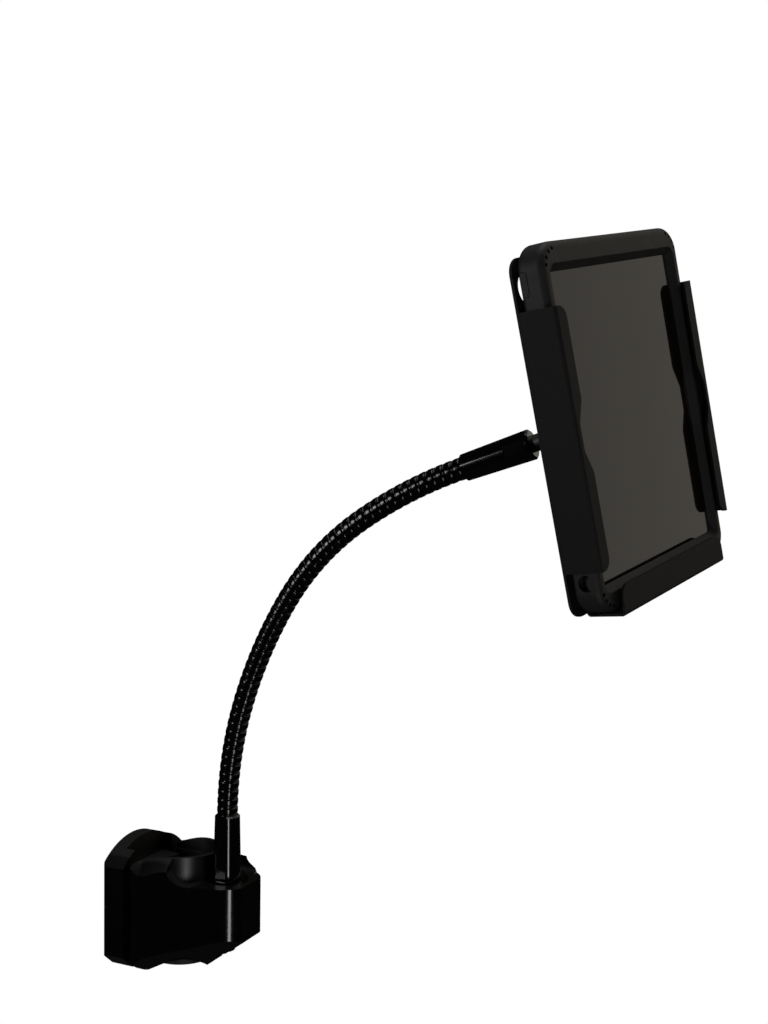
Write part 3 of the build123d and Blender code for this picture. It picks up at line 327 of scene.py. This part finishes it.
def rib_profile():
    """(distance, radius) pairs of one pitch: thin wire, groove, wide band."""
    wire_end = END_GAP + WIRE_W
    band_start = wire_end + 2 * FLANK
    band_end = PITCH - END_GAP
    points = [(END_GAP, GROOVE_R), (END_GAP + FLANK, WIRE_R - FLANK / 2), (END_GAP + WIRE_W / 2, WIRE_R)]
    points += [(wire_end - FLANK, WIRE_R - FLANK / 2), (wire_end, GROOVE_R)]
    points += [(band_start - FLANK / 2, GROOVE_R)]
    for step in range(BAND_STEPS):
        share = step / (BAND_STEPS - 1)
        crown = 1 - (2 * share - 1) ** 6
        reach = band_start + share * (band_end - band_start)
        points.append((reach, BAND_EDGE_R + crown * (BAND_R - BAND_EDGE_R)))
    return points + [(band_end, GROOVE_R)]


def tube(mesh, rings):
    """Bridges circles given as (plane, radius, number of sides)."""
    loops = []
    for plane, radius, sides in rings:
        circle = bmesh.ops.create_circle(mesh, segments=sides, radius=radius, matrix=plane)
        loops.append(list(dict.fromkeys(edge for vert in circle["verts"] for edge in vert.link_edges)))
    for low, high in zip(loops, loops[1:]):
        bmesh.ops.bridge_loops(mesh, edges=low + high)
    bmesh.ops.edgeloop_fill(mesh, edges=loops[0])
    bmesh.ops.edgeloop_fill(mesh, edges=loops[-1])


def along_neck(rings):
    """Planes for rings that are given as (distance along the neck, radius)."""
    return [(neck_frame(distance), radius, AROUND) for distance, radius in rings]


def piece(name, mesh, material, body):
    bmesh.ops.recalc_face_normals(mesh, faces=mesh.faces)
    for face in mesh.faces:
        face.smooth = True
    for edge in mesh.edges:
        edge.smooth = edge.calc_face_angle(0) < CREASE
    data = bpy.data.meshes.new(name)
    mesh.to_mesh(data)
    mesh.free()
    data.materials.append(material)
    made = bpy.data.objects.new(name, data)
    bpy.context.scene.collection.objects.link(made)
    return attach(made, body)


for number in range(1, LINKS + 1):
    start = (number - 1) * PITCH * RIBS_PER_LINK
    rings = []
    for rib in range(RIBS_PER_LINK):
        rings += [(start + rib * PITCH + reach, radius) for reach, radius in rib_profile()]
    if number == 1:
        rings.insert(0, (-FERRULE_OVERLAP, GROOVE_R))
    if number == LINKS:
        rings.append((NECK_L + FERRULE_OVERLAP, GROOVE_R))
    body = "neck_base" if number == 1 else "neck_top" if number == LINKS else "neck_" + str(number)
    shell = bmesh.new()
    tube(shell, along_neck(rings))
    if number < LINKS:
        end = start + PITCH * RIBS_PER_LINK
        core = [(end - 2 * END_GAP, CORE_R), (end + CORE_REACH, CORE_R - CORE_TAPER)]
        tube(shell, along_neck(core))
    winding = piece("neck_winding_" + str(number), shell, neck_black, body)
    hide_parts("neck_link_" + str(number))


# Foot bolt, seen from below in the belly's pocket: a low button head with a
# hexagon socket on the CAD bolt's shank, so that it hides as in the photo.
BOLT_R = 4.0 * MM
BOLT_TOP_Z = 49.0 * MM
HEAD_TOP_Z = -25.6 * MM
HEAD_R = 7.4 * MM
HEAD_H = 3.2 * MM
SOCKET_R = 3.4 * MM
SOCKET_DEPTH = 1.8 * MM
HEAD_RIM_SHARE = 0.3
HEAD_CROWN_SHARE = 0.4
HEAD_SWING = math.radians(60)
HEAD_ARC_STEPS = 5
TIP_CHAMFER = 0.6 * MM


def across(z, radius, sides=AROUND):
    return Matrix.Translation((NECK_X, 0, z)), radius, sides


rings = [across(BOLT_TOP_Z, BOLT_R - TIP_CHAMFER), across(BOLT_TOP_Z - TIP_CHAMFER, BOLT_R)]
rings += [across(HEAD_TOP_Z, BOLT_R), across(HEAD_TOP_Z, HEAD_R)]
for step in range(HEAD_ARC_STEPS):
    swing = HEAD_SWING * step / (HEAD_ARC_STEPS - 1)
    drop = HEAD_RIM_SHARE + (1 - HEAD_RIM_SHARE) * math.sin(swing) / math.sin(HEAD_SWING)
    reach = HEAD_CROWN_SHARE + (1 - HEAD_CROWN_SHARE) * math.cos(swing)
    rings.append(across(HEAD_TOP_Z - drop * HEAD_H, reach * HEAD_R))
rings += [across(HEAD_TOP_Z - HEAD_H, SOCKET_R, 6), across(HEAD_TOP_Z - HEAD_H + SOCKET_DEPTH, SOCKET_R, 6)]
shell = bmesh.new()
tube(shell, rings)
bolt = piece("foot_bolt", shell, oxide, "neck_base")
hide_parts("base_bolt")


# Soft studio light: a low softbox to the right of the camera, a tall one to its
# left and a large one overhead. Sizes and places are in metres.
def area_light(name, place, target, width, height, watts):
    data = bpy.data.lights.new(name, "AREA")
    data.shape = "RECTANGLE"
    data.size = width
    data.size_y = height
    data.energy = watts
    made = bpy.data.objects.new(name, data)
    made.location = place
    made.rotation_euler = (Vector(place) - Vector(target)).to_track_quat("Z", "Y").to_euler()
    bpy.context.scene.collection.objects.link(made)


area_light("right_box", (1.31, -1.40, -0.58), target=(0.05, 0, 0.1), width=0.3, height=1.0, watts=6.5)
area_light("left_box", (-1.0, -1.66, 0.47), target=(0.12, 0, 0.25), width=0.6, height=0.75, watts=10)
area_light("overhead", (0.25, 0.1, 2.2), target=(0.2, 0, 0.22), width=1.4, height=1.4, watts=11)

# Plain floor far below, white to the camera and a dull grey to reflections.
FLOOR_Z = -1.4
FLOOR_HALF = 30
FLOOR_GREY = 0.06
floor_mesh = bmesh.new()
floor_place = Matrix.Translation((0, 0, FLOOR_Z))
bmesh.ops.create_grid(floor_mesh, x_segments=1, y_segments=1, size=FLOOR_HALF, matrix=floor_place)
floor_data = bpy.data.meshes.new("floor")
floor_mesh.to_mesh(floor_data)
floor_mesh.free()
floor = bpy.data.objects.new("floor", floor_data)
bpy.context.scene.collection.objects.link(floor)

floor_paint = bpy.data.materials.new("floor_paint")
floor_paint.use_nodes = True
tree = floor_paint.node_tree
path = Tap(tree, tree.nodes.new("ShaderNodeLightPath").outputs["Is Camera Ray"])
matt = path.node("ShaderNodeBsdfDiffuse", {"Color": grey(FLOOR_GREY)})
white = path.node("ShaderNodeEmission", {"Color": grey(1.0), "Strength": 1.0})
blend = path.node("ShaderNodeMixShader", {0: path, 1: matt, 2: white})
tree.links.new(blend.socket, tree.nodes["Material Output"].inputs["Surface"])
floor_data.materials.append(floor_paint)

# The studio is dark but for the lit backdrop, which the screen mirrors. The
# camera sees white all round. EDGE and FULL are cosines from the backdrop's way.
BACKDROP_WAY = (0.69, 0.713, 0.124)
BACKDROP_EDGE = 0.45
BACKDROP_FULL = 0.8
BACKDROP_GLOW = 0.55
STUDIO_GLOW = 0.008
world = bpy.data.worlds.new("studio")
bpy.context.scene.world = world
world.use_nodes = True
tree = world.node_tree
path = Tap(tree, tree.nodes.new("ShaderNodeLightPath").outputs["Is Camera Ray"])
spread = path.node("ShaderNodeTexCoord", {}, "Generated")
towards = spread.along(*BACKDROP_WAY)
glow = towards.steps(BACKDROP_EDGE, BACKDROP_FULL, STUDIO_GLOW, BACKDROP_GLOW)
dim = glow.node("ShaderNodeBackground", {"Color": (1.0, 0.93, 0.82, 1), "Strength": glow})
white = path.node("ShaderNodeBackground", {"Color": grey(1.0), "Strength": 1.0})
blend = path.node("ShaderNodeMixShader", {0: path, 1: dim, 2: white})
tree.links.new(blend.socket, tree.nodes["World Output"].inputs["Surface"])

bpy.context.scene.view_settings.view_transform = "Standard"
